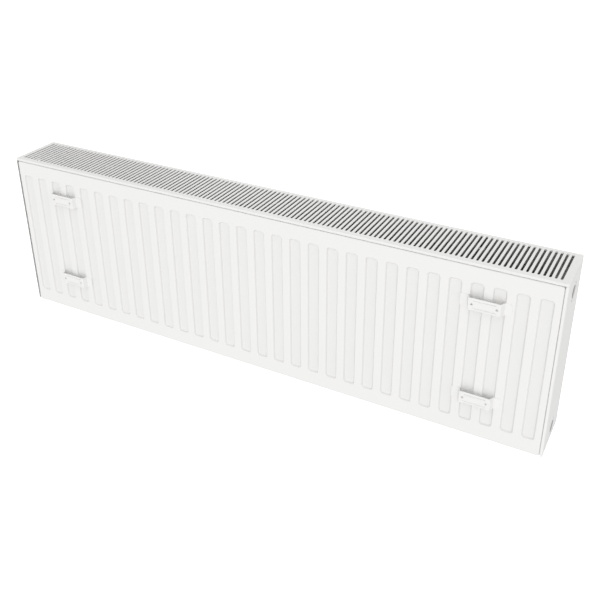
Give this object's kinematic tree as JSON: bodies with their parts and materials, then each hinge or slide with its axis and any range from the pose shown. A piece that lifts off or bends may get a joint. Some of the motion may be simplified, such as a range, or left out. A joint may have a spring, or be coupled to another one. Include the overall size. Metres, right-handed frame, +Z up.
{
  "type": "panel radiator",
  "caption": "Low white double panel central heating radiator with convector fins, a slotted top grille, side covers, hanging lugs on the wall side and threaded ports at its ends.",
  "frame": {"origin": "under the middle of the whole object's box, lugs included, at the height of the panels' bottom edges", "axes": "+X along the radiator, +Z up, -Y towards the wall, the side with the hanging lugs"},
  "size_m": [1.0044, 0.1072, 0.3],
  "materials": {
    "white_enamel": "smooth semi-gloss white powder coat",
    "thin_white_primer": "thin matt white dip coat",
    "port_steel": "white coat outside, bare steel thread",
    "spring_steel": "bright zinc plated"
  },
  "bodies": {
    "radiator": {"rear_outer_sheet": "white_enamel", "rear_inner_sheet": "white_enamel", "front_outer_sheet": "white_enamel", "front_inner_sheet": "white_enamel", "rear_convector": "thin_white_primer", "front_convector": "thin_white_primer", "header_tube_bottom_left": "white_enamel", "header_tube_top_left": "white_enamel", "header_tube_bottom_right": "white_enamel", "header_tube_top_right": "white_enamel", "port_boss_bottom_left": "port_steel", "port_boss_top_left": "port_steel", "port_boss_bottom_right": "port_steel", "port_boss_top_right": "port_steel", "hanging_lug_lower_left": "white_enamel", "hanging_lug_upper_left": "white_enamel", "hanging_lug_lower_right": "white_enamel", "hanging_lug_upper_right": "white_enamel"},
    "grille": {"top_grille": "white_enamel", "grille_clip_rear_left": "spring_steel", "grille_clip_rear_middle": "spring_steel", "grille_clip_rear_right": "spring_steel", "grille_clip_front_left": "spring_steel", "grille_clip_front_middle": "spring_steel", "grille_clip_front_right": "spring_steel"},
    "left_cover": {"left_side_cover": "white_enamel"},
    "right_cover": {"right_side_cover": "white_enamel"}
  },
  "joints": [
    {"name": "grille_lift", "type": "slide", "parent": "radiator", "child": "grille", "axis": [0, 0, 1], "range_m": [0, 0.06]},
    {"name": "left_cover_pull", "type": "slide", "parent": "radiator", "child": "left_cover", "axis": [-1, 0, 0], "range_m": [0, 0.05]},
    {"name": "right_cover_pull", "type": "slide", "parent": "radiator", "child": "right_cover", "axis": [1, 0, 0], "range_m": [0, 0.05]}
  ]
}
